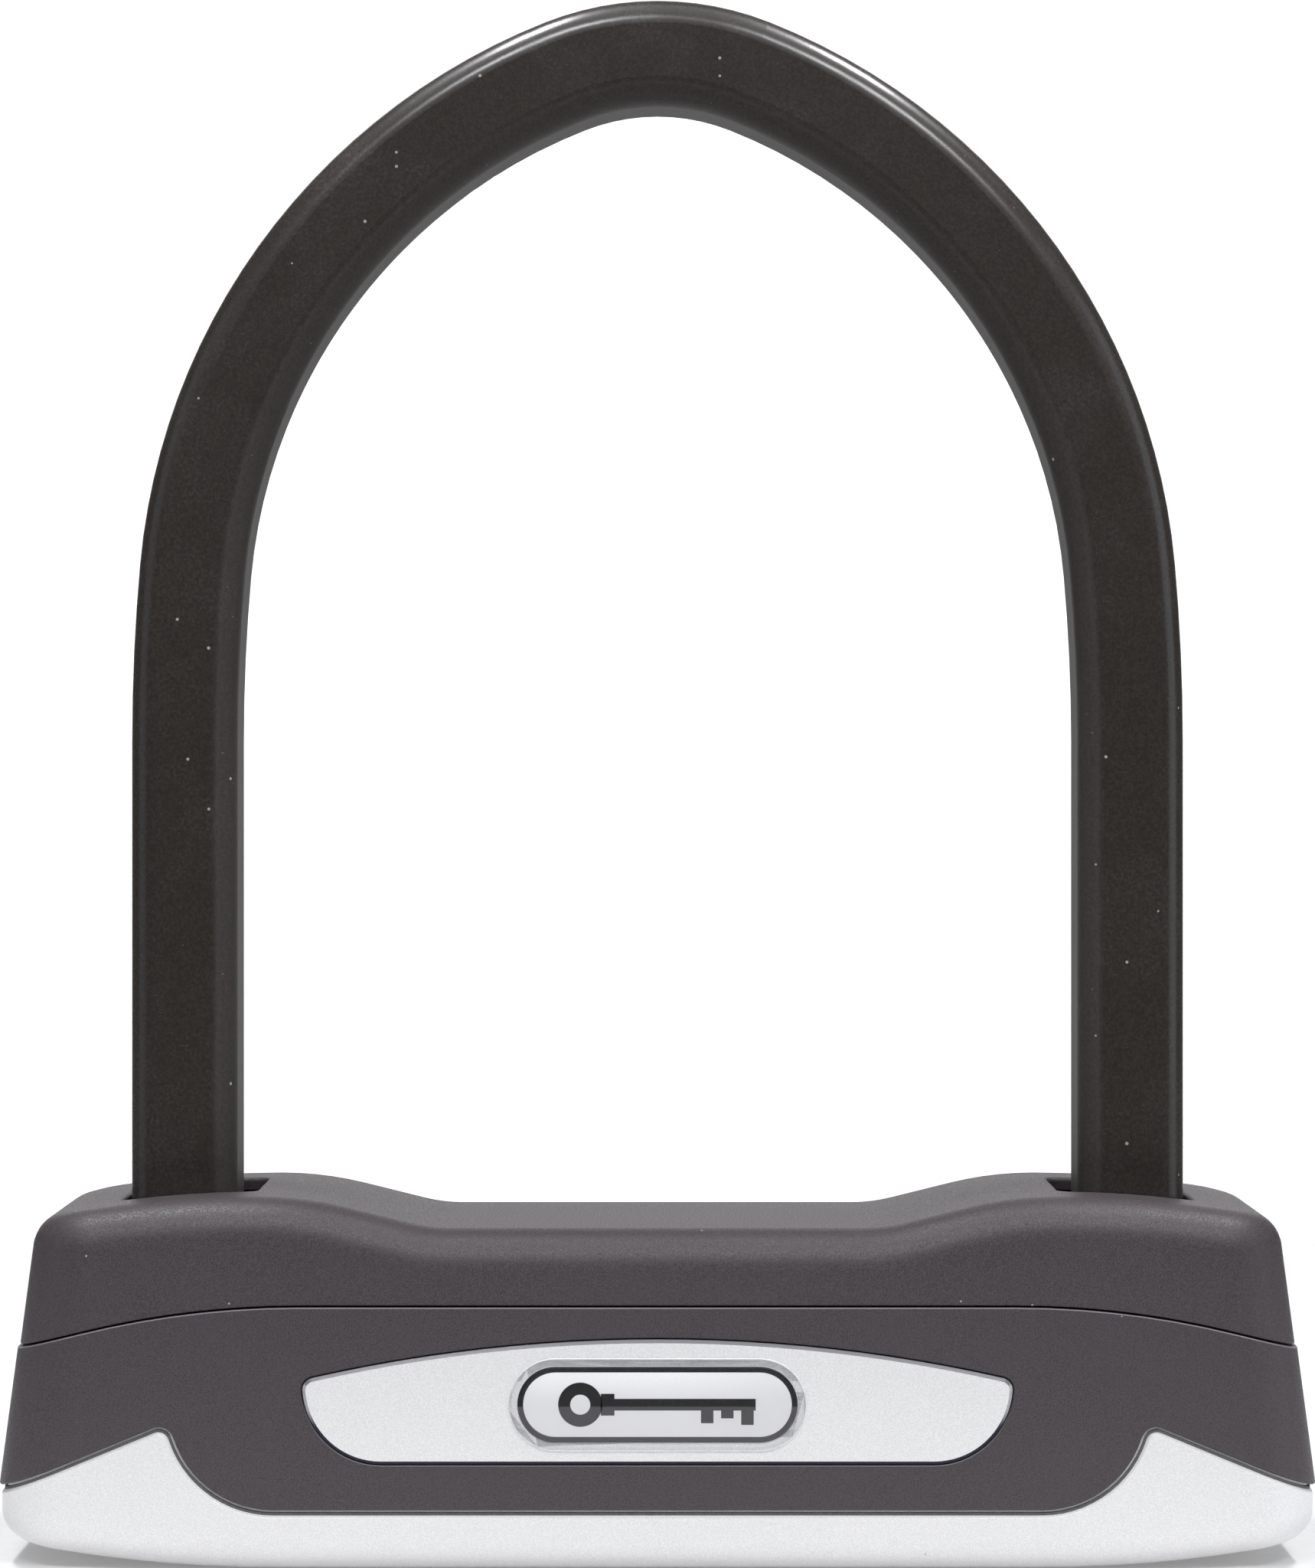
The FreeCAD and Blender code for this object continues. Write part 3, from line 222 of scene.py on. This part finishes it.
def badge_silver():
    """Lacquered face whose bevel carries painted shade: grey where it looks up or sideways, near black as
    painted shadow where it looks down.
    """
    painted_side_shade = (0.30, 0.30, 0.315)
    painted_top_shade = (0.17, 0.165, 0.175)
    painted_gap_shadow = (0.012, 0.013, 0.030)
    s, base = silver_lacquer("badge_silver")
    height = s.facing("Z")
    sideways = s.math("ABSOLUTE", s.facing("X"))
    # painted shade on the bevel by which way it faces: grey sideways and up, near black painted shadow
    # downwards
    base = s.mix(s.remap(sideways, 0.25, 0.5, to_high=0.7), base, painted_side_shade)
    base = s.mix(s.remap(height, 0.25, 0.45), base, painted_top_shade)
    base = s.mix(s.remap(height, -0.20, -0.40), base, painted_gap_shadow)
    s.color(base)
    return s.mat


def sleeve_vinyl():
    """Smooth brown-black vinyl with haze, specks and fine upright scratches."""
    arch_middle = 0.10
    dark = (0.0180, 0.0136, 0.0110)
    pale = (0.0345, 0.0270, 0.0225)
    hazy = (0.060, 0.055, 0.048)
    speck_tone = (0.50, 0.48, 0.45)
    crumb_tone = (0.40, 0.38, 0.36)
    s = Shader("sleeve_vinyl", Specular_IOR_Level=0.5, Coat_Weight=0.30, Coat_Roughness=0.5)
    grain = s.noise(per_mm=2.6, detail=3.0, rough=0.7)
    patch = s.noise(per_mm=0.07, detail=4.0, rough=0.65, distort=0.6)
    fine_dust = s.noise(per_mm=2.2, detail=2.0, rough=0.6)
    base = s.mix(s.remap(grain, 0.35, 0.7), dark, pale)
    haze = s.math("MULTIPLY", s.remap(patch, 0.40, 0.70), s.remap(fine_dust, 0.46, 0.66))
    base = s.mix(s.math("MULTIPLY", haze, 0.32), base, hazy)
    specks = s.dust(per_mm=0.75, share=0.035, size=0.17)
    base = s.mix(s.math("MULTIPLY", specks, 0.7), base, speck_tone)
    crumbs = s.dust(per_mm=1.6, share=0.05, size=0.16)
    base = s.mix(s.math("MULTIPLY", crumbs, 0.35), base, crumb_tone)
    s.color(base)

    smooth = s.remap(patch, 0.35, 0.75, to_low=0.23, to_high=0.28)
    rough = s.math("ADD", smooth, s.math("MULTIPLY", haze, 0.08))
    # the side that looks into the arch is rubbed dull by what the lock holds
    sideways = s.math("MULTIPLY", s.position("X"), s.facing("X"))
    height = s.math("SUBTRACT", s.position("Z"), arch_middle)
    outward = s.math("ADD", sideways, s.math("MULTIPLY", height, s.facing("Z")))
    rough = s.math("ADD", rough, s.remap(outward, -0.004, -0.030, to_high=0.55))
    s.roughness(s.math("ADD", rough, s.math("MULTIPLY", specks, 0.4)))

    scratch = s.noise(per_mm=1.1, detail=2.0, rough=0.5, scale=(1.0, 1.0, 0.04))
    scratches = s.bump(s.remap(scratch, 0.62, 0.70), height_mm=0.004, strength=0.3)
    s.normal(s.bump(grain, height_mm=0.002, strength=0.2, under=scratches))
    return s.mat


def plain_metal(name, color, rough, brush=(1, 1, 1)):
    """Bare metal; brush shortens the axis along which its lines run."""
    line_tone = tuple(0.72 * part for part in color)
    stain_tone = tuple(0.55 * part for part in color)
    s = Shader(name, Metallic=1.0)
    lines = s.noise(per_mm=2.5, detail=3.0, rough=0.6, scale=brush)
    stain = s.noise(per_mm=0.12, detail=3.0, rough=0.6)
    base = s.mix(s.remap(lines, 0.3, 0.7), line_tone, color)
    base = s.mix(s.remap(stain, 0.45, 0.75, to_high=0.4), base, stain_tone)
    s.color(base)
    s.roughness(s.remap(lines, 0.3, 0.7, to_low=rough - 0.07, to_high=rough + 0.10))
    s.normal(s.bump(lines, height_mm=0.004, strength=0.6))
    return s.mat


def black_moulding(name, level, rough):
    """Matt moulded black with a fine grain; level is its darker tone."""
    dark = (level, level, level)
    pale = (level * 1.7, level * 1.6, level * 1.6)
    s = Shader(name, Specular_IOR_Level=0.4)
    grain = s.noise(per_mm=4.0, detail=2.0, rough=0.6)
    s.color(s.mix(s.remap(grain, 0.3, 0.7), dark, pale))
    s.roughness(s.remap(grain, 0.3, 0.7, to_low=rough, to_high=rough + 0.15))
    s.normal(s.bump(grain, height_mm=0.015, strength=0.6))
    return s.mat


def clear_resin():
    """Clear dome: see-through, with a bright skin where the light grazes it and a rim whitened as a
    painted reflection.
    """
    skin_index = 1.32
    skin_share = 0.30
    s = Shader("emblem_lens")
    through = s.add("ShaderNodeBsdfTransparent")
    through.inputs["Color"].default_value = (0.985, 0.987, 0.99, 1.0)
    s.bsdf.inputs["Base Color"].default_value = (0.90, 0.90, 0.91, 1.0)
    ripple = s.noise(per_mm=0.25, detail=2.0, rough=0.5)
    s.roughness(s.remap(ripple, 0.3, 0.7, to_low=0.08, to_high=0.16))
    fresnel = s.add("ShaderNodeFresnel")
    fresnel.inputs["IOR"].default_value = skin_index
    skin = s.math("MULTIPLY", fresnel.outputs["Fac"], skin_share)
    front = s.math("ABSOLUTE", s.facing("Y"))
    # painted reflection: where the dome turns sideways its rim is mixed towards opaque white
    painted_rim_reflection = s.remap(front, 0.80, 0.30, to_high=0.65)
    blend = s.add("ShaderNodeMixShader")
    s.link(s.math("ADD", skin, painted_rim_reflection), blend.inputs[0])
    s.link(through.outputs["BSDF"], blend.inputs[1])
    s.link(s.bsdf.outputs["BSDF"], blend.inputs[2])
    s.link(blend.outputs["Shader"], s.out.inputs["Surface"])
    return s.mat


def emblem_foil_material():
    """Silver print: bright above, a shade darker below the middle and towards one end."""
    lower_tone = (0.76, 0.75, 0.75)
    upper_tone = (0.97, 0.97, 0.975)
    end_tone = (0.68, 0.67, 0.67)
    flake_tone = (0.78, 0.78, 0.79)
    s = Shader("emblem_foil")
    flake = s.noise(per_mm=4.0, detail=2.0, rough=0.6)
    low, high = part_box("emblem_foil")
    middle = (low.z + high.z) / 2
    shade = s.mix(s.remap(s.position("Z"), middle - 0.2 * MM, high.z), lower_tone, upper_tone)
    shade = s.mix(s.remap(s.position("X"), 0.0, high.x, to_high=0.45), shade, end_tone)
    s.color(s.mix(s.remap(flake, 0.3, 0.7, to_high=0.25), shade, flake_tone))
    s.roughness(s.remap(flake, 0.3, 0.7, to_low=0.30, to_high=0.42))
    s.normal(s.bump(flake, height_mm=0.004, strength=0.4))
    return s.mat


def printed_black():
    """Black print under the dome, a lighter grey below the middle line."""
    dark = (0.006, 0.006, 0.008)
    pale = (0.016, 0.015, 0.015)
    lower_grey = (0.14, 0.13, 0.135)
    s = Shader("emblem_ink", Specular_IOR_Level=0.3)
    grain = s.noise(per_mm=3.0, detail=2.0, rough=0.5)
    low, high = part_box("emblem_foil")
    middle = (low.z + high.z) / 2
    ink = s.mix(s.remap(grain, 0.3, 0.7), dark, pale)
    lower_lightening = s.remap(s.position("Z"), middle - 0.15 * MM, middle - 0.35 * MM, to_high=0.55)
    s.color(s.mix(lower_lightening, ink, lower_grey))
    s.roughness(s.remap(grain, 0.3, 0.7, to_low=0.35, to_high=0.5))
    s.normal(s.bump(grain, height_mm=0.004, strength=0.4))
    return s.mat


MATERIAL = {
    "cover_plastic": cover_plastic(),
    "cap_silver": cap_silver(),
    "badge_silver": badge_silver(),
    "emblem_foil": emblem_foil_material(),
    "emblem_lens": clear_resin(),
    "hardened_steel": plain_metal("hardened_steel", (0.30, 0.30, 0.31), 0.38, brush=(1, 1, 0.06)),
    "sleeve_vinyl": sleeve_vinyl(),
    "case_steel": plain_metal("case_steel", (0.42, 0.42, 0.43), 0.42, brush=(0.06, 1, 1)),
    "cast_zinc": plain_metal("cast_zinc", (0.46, 0.46, 0.47), 0.55),
    "black_plastic": black_moulding("black_plastic", level=0.012, rough=0.45),
    "rubber_black": black_moulding("rubber_black", level=0.075, rough=0.62),
    "brass": plain_metal("brass", (0.72, 0.56, 0.27), 0.30, brush=(1, 1, 0.1)),
    "fastener_steel": plain_metal("fastener_steel", (0.58, 0.58, 0.59), 0.32),
}

SLOT = {entry["node"]: entry["material_slot"] for entry in frame["record"]["subparts"]}
for name, obj in nodes.items():
    obj.data.materials.clear()
    obj.data.materials.append(MATERIAL[SLOT[name]])

# the lower cover's seam edge is the one that gets the painted highlight, a pale sheen on its up-facing
# rounded edges
nodes["lower_cover"].data.materials[0] = cover_plastic("cover_plastic_lower", painted_sheen_share=0.85)


# ---------------------------------------------------------------- mesh helpers
def make_piece(name, mesh, material, body, smooth=True):
    for polygon in mesh.polygons:
        polygon.use_smooth = smooth
    obj = bpy.data.objects.new(name, mesh)
    bpy.context.scene.collection.objects.link(obj)
    mesh.materials.append(material)
    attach(obj, body)
    return obj


def from_bmesh(name, bm):
    bmesh.ops.recalc_face_normals(bm, faces=bm.faces)
    mesh = bpy.data.meshes.new(name)
    bm.to_mesh(mesh)
    bm.free()
    return mesh


def ring_points(centre_x, centre_z, radius, y, steps=40):
    """Points of a circle in the plane at y."""
    points = []
    for i in range(steps):
        angle = 2 * math.pi * i / steps
        points.append((centre_x + radius * math.cos(angle), y, centre_z + radius * math.sin(angle)))
    return points


def stadium_points(half_length, radius, centre_z, y, steps=24):
    """Points of a stadium outline in the plane at y, anticlockwise seen from -Y."""
    reach = half_length - radius
    points = []
    for side, start in ((1, -math.pi / 2), (-1, math.pi / 2)):
        for i in range(steps + 1):
            angle = start + math.pi * i / steps
            x = side * reach + radius * math.cos(angle)
            points.append((x, y, centre_z + radius * math.sin(angle)))
    return points


def skin(bm, loops, closed):
    """Quads from each loop of points to the next, and back to the first if closed."""
    rings = [[bm.verts.new(point) for point in loop] for loop in loops]
    followers = rings[1:] + rings[:1] if closed else rings[1:]
    for near, far in zip(rings, followers):
        for i in range(len(near)):
            j = (i + 1) % len(near)
            bm.faces.new((near[i], near[j], far[j], far[i]))
    return rings


def loft(name, loops):
    """Skins a list of equal-length loops of 3-D points and closes both ends."""
    bm = bmesh.new()
    rings = skin(bm, loops, closed=False)
    bm.faces.new(rings[-1])
    bm.faces.new(list(reversed(rings[0])))
    return from_bmesh(name, bm)


# ---------------------------------------------------------------- emblem
def emblem_foil(middle_z, ink_back, ink_front, ink):
    """The silver foil with its printed black border."""
    foil_lo, foil_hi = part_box("emblem_foil")
    half = (foil_hi.x - foil_lo.x) / 2
    radius = (foil_hi.z - foil_lo.z) / 2
    face = foil_lo.y
    edge_inset = 0.1 * MM
    edge_rise = 0.01 * MM
    border_start = 0.02 * MM
    border_width = 0.74 * MM
    border_slope = 0.01 * MM

    def outline(inset, y):
        return stadium_points(half - inset, radius - inset, middle_z, y)

    foil = loft("emblem_foil_sheet", [
        outline(0, foil_hi.y),
        outline(0, face),
        outline(edge_inset, face - edge_rise),
    ])
    foil = make_piece("emblem_foil_sheet", foil, MATERIAL["emblem_foil"], "lock_body")
    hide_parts("emblem_foil")

    bm = bmesh.new()
    loops = [
        outline(border_start, ink_back),
        outline(border_start + border_slope, ink_front),
        outline(border_width, ink_front),
        outline(border_width + border_slope, ink_back),
    ]
    skin(bm, loops, closed=True)
    piece = make_piece("emblem_ring", from_bmesh("emblem_ring", bm), ink, "lock_body")


def emblem_sign(middle_z, ink_back, ink_front, ink):
    """A plain key for a sign: ring bow, collar, shaft and three teeth."""
    bow_x = -9.6 * MM
    bow_outer = 2.75 * MM
    bow_inner = 1.25 * MM
    collar_start = bow_x + bow_outer * 0.93
    collar_end = bow_x + bow_outer + 1.5 * MM
    collar_half = 1.35 * MM
    shaft_end = 12.2 * MM
    shaft_half = 0.72 * MM
    tooth_width = 1.55 * MM
    tooth_overlap = 0.02 * MM
    teeth = ((5.4, 2.3), (7.9, 1.7), (10.4, 2.5))

    bm = bmesh.new()
    bow_section = (
        (bow_outer, ink_back),
        (bow_outer, ink_front),
        (bow_inner, ink_front),
        (bow_inner, ink_back),
    )
    skin(bm, [ring_points(bow_x, middle_z, radius, y) for radius, y in bow_section], closed=True)

    def bar(start, end, bottom, top):
        corners = [(start, bottom), (end, bottom), (end, top), (start, top)]
        front = [bm.verts.new((x, ink_front, middle_z + z)) for x, z in corners]
        back = [bm.verts.new((x, ink_back, middle_z + z)) for x, z in corners]
        bm.faces.new(front)
        bm.faces.new(list(reversed(back)))
        for i in range(4):
            j = (i + 1) % 4
            bm.faces.new((front[j], front[i], back[i], back[j]))

    bar(collar_start, collar_end, -collar_half, collar_half)
    bar(collar_end, shaft_end, -shaft_half, shaft_half)
    for start_mm, drop_mm in teeth:
        start = start_mm * MM
        bar(start, start + tooth_width, -drop_mm * MM, -shaft_half + tooth_overlap)
    piece = make_piece("emblem_sign", from_bmesh("emblem_sign", bm), ink, "lock_body", smooth=False)


def emblem_dome(middle_z):
    """Clear dome over the foil: a low cushion with a tight round edge."""
    lens_lo, lens_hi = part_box("emblem_lens")
    half = (lens_hi.x - lens_lo.x) / 2
    radius = (lens_hi.z - lens_lo.z) / 2
    rise = lens_hi.y - lens_lo.y
    foot_inset = 0.05 * MM
    foot_height = 0.12 * MM
    edge_inset = 1.25 * MM
    edge_share = 0.86
    crown_share = 0.13
    edge_steps = 8
    crown_steps = 6
    last_radius = 0.05 * MM

    def outline(inset, y):
        return stadium_points(half - inset, radius - inset, middle_z, y)

    loops = [outline(foot_inset, lens_hi.y)]
    for i in range(edge_steps + 1):
        angle = math.pi / 2 * i / edge_steps
        height = foot_height + (rise * edge_share - foot_height) * math.sin(angle)
        loops.append(outline(edge_inset * (1 - math.cos(angle)), lens_hi.y - height))
    for i in range(1, crown_steps + 1):
        share = i / crown_steps
        inset = edge_inset + (radius - edge_inset - last_radius) * share
        height = rise * edge_share + rise * crown_share * math.sin(share * math.pi / 2)
        loops.append(outline(inset, lens_hi.y - height))
    dome = loft("emblem_dome", loops)
    dome = make_piece("emblem_dome", dome, MATERIAL["emblem_lens"], "lock_body")
    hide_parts("emblem_lens")


def emblem():
    foil_lo, foil_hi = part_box("emblem_foil")
    middle_z = (foil_lo.z + foil_hi.z) / 2
    ink_back = foil_lo.y - 0.012 * MM
    ink_front = foil_lo.y - 0.035 * MM
    ink = printed_black()
    emblem_foil(middle_z, ink_back, ink_front, ink)
    emblem_sign(middle_z, ink_back, ink_front, ink)
    emblem_dome(middle_z)


emblem()


# ---------------------------------------------------------------- stage, light, camera
def paper(name, low, high, glow):
    """Matt paper between two grey levels, with an even glow of its own."""
    s = Shader(
        name,
        Roughness=0.9,
        Specular_IOR_Level=0.1,
        Emission_Color=(1.0, 1.0, 1.0, 1.0),
        Emission_Strength=glow,
    )
    fibre = s.noise(per_mm=0.4, detail=3.0, rough=0.6)
    s.color(s.mix(s.remap(fibre, 0.3, 0.7), (low, low, low), (high, high, high)))
    s.normal(s.bump(fibre, height_mm=0.02, strength=0.3))
    return s.mat


def stage_sheet(name, points, material):
    bm = bmesh.new()
    bm.faces.new([bm.verts.new(p) for p in points])
    mesh = from_bmesh(name, bm)
    mesh.materials.append(material)
    sheet = bpy.data.objects.new(name, mesh)
    bpy.context.scene.collection.objects.link(sheet)


def stage():
    """A round pale table under the lock and a pale backdrop far behind it."""
    table_radius = 0.25
    table_front = -0.14
    table_top = -0.02 * MM
    steps = 96
    rim = []
    for i in range(steps):
        angle = 2 * math.pi * i / steps
        x = table_radius * math.cos(angle)
        y = table_front + table_radius + table_radius * math.sin(angle)
        rim.append((x, y, table_top))
    stage_sheet("floor", rim, paper("floor_paper", low=0.62, high=0.65, glow=0.15))

    back_y = 2.0
    left, right = -1.0, 1.0
    bottom, top = -0.7, 1.5
    corners = [(left, back_y, bottom), (right, back_y, bottom), (right, back_y, top), (left, back_y, top)]
    stage_sheet("backdrop", corners, paper("backdrop_paper", low=0.92, high=0.94, glow=0.95))


def softbox(name, location, size, watts, color=(1, 1, 1)):
    """A rectangular lamp that looks at the middle of the lock."""
    target = (0, 0, 0.10)
    data = bpy.data.lights.new(name, "AREA")
    data.shape = "RECTANGLE"
    data.size, data.size_y = size
    data.energy = watts
    data.color = color
    lamp = bpy.data.objects.new(name, data)
    lamp.location = location
    aim = Vector(target) - Vector(location)
    lamp.rotation_euler = aim.to_track_quat("-Z", "Y").to_euler()
    bpy.context.scene.collection.objects.link(lamp)


def studio_world():
    """Pale where the camera sees it, and only a faint fill light for the rest."""
    fill_strength = 0.10
    seen_strength = 1.0
    world = bpy.data.worlds.new("studio")
    world.use_nodes = True
    tree = world.node_tree
    background = tree.nodes["Background"]
    background.inputs["Color"].default_value = (0.99, 0.993, 1.0, 1.0)
    seen = tree.nodes.new("ShaderNodeLightPath").outputs["Is Camera Ray"]
    level = tree.nodes.new("ShaderNodeMapRange")
    level.inputs["To Min"].default_value = fill_strength
    level.inputs["To Max"].default_value = seen_strength
    tree.links.new(seen, level.inputs["Value"])
    tree.links.new(level.outputs["Result"], background.inputs["Strength"])
    bpy.context.scene.world = world


def lighting():
    cool = (0.84, 0.90, 1.0)
    white = (0.98, 0.985, 1.0)
    softbox("soft_left", (-0.55, -1.0, 0.85), size=(1.0, 1.0), watts=0.6)
    softbox("soft_right", (0.55, -1.0, 0.85), size=(1.0, 1.0), watts=0.6)
    # rims draw the crisp lines along the arch's outer edge, strips the soft bands beside them
    softbox("rim_left", (-0.30, 0.02, 1.0), size=(0.30, 0.07), watts=5.8, color=white)
    softbox("rim_right", (0.44, 0.02, 1.0), size=(0.28, 0.07), watts=5.8, color=white)
    softbox("strip_left", (-0.19, -0.74, 0.78), size=(0.26, 0.13), watts=3.3, color=white)
    softbox("strip_right", (0.32, -0.74, 0.75), size=(0.26, 0.13), watts=3.3, color=white)
    softbox("ceiling", (0.0, -0.20, 1.30), size=(1.6, 1.0), watts=4.0, color=cool)
    softbox("side_left", (-1.2, -0.45, 0.35), size=(0.8, 1.1), watts=1.2, color=cool)
    softbox("side_right", (1.2, -0.45, 0.35), size=(0.8, 1.1), watts=2.8, color=cool)


def camera():
    """Level with the middle of the shackle, straight in front of the badge."""
    distance = 0.480
    height = 0.0982
    data = bpy.data.cameras.new("camera")
    data.sensor_fit = "AUTO"
    data.sensor_width = 36.0
    data.lens = 85.04
    data.clip_start = 0.01
    data.clip_end = 50.0
    eye = bpy.data.objects.new("camera", data)
    eye.location = (0.0, -distance, height)
    eye.rotation_euler = (math.pi / 2, 0, 0)
    bpy.context.scene.collection.objects.link(eye)
    bpy.context.scene.camera = eye


stage()
studio_world()
lighting()
camera()
bpy.context.scene.view_settings.view_transform = "Standard"
